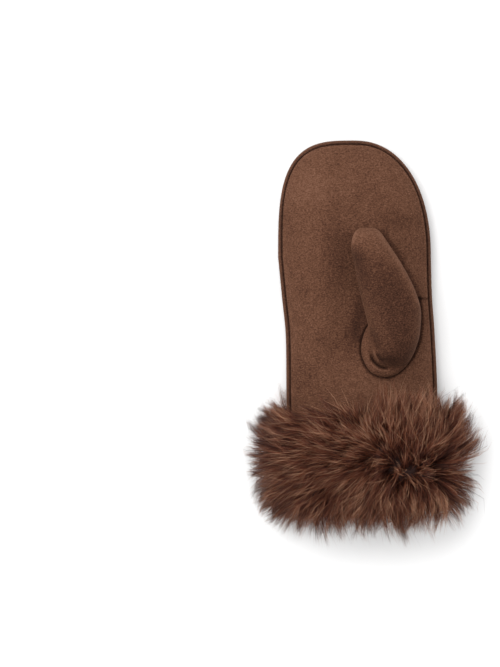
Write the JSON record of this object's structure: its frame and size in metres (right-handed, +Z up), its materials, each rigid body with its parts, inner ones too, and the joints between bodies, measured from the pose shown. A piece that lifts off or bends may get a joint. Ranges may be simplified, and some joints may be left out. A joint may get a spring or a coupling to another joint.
{
  "type": "fur-cuffed mitten",
  "caption": "Brown suede-cloth mitten for the right hand with a deep dark brown fur cuff, lying palm up, its thumb folded over the palm.",
  "frame": {"origin": "middle of the footprint, on the surface that the mitten lies on", "axes": "+Z up from the surface through the palm, +Y from the wrist to the fingertips, +X towards the thumb's side"},
  "size_m": [0.1648, 0.285, 0.0637],
  "materials": {
    "suede": "napped",
    "seam": "stitched",
    "fur": "long pile"
  },
  "bodies": {
    "root": {"palm_panel": "suede", "thumb": "suede", "side_gusset": "suede", "back_panel_outer": "suede", "back_panel_inner": "suede", "cuff_panel_outer": "suede", "cuff_panel_inner": "suede", "centre_seam": "seam", "cross_seam": "seam", "fur_cuff": "fur"}
  },
  "joints": []
}
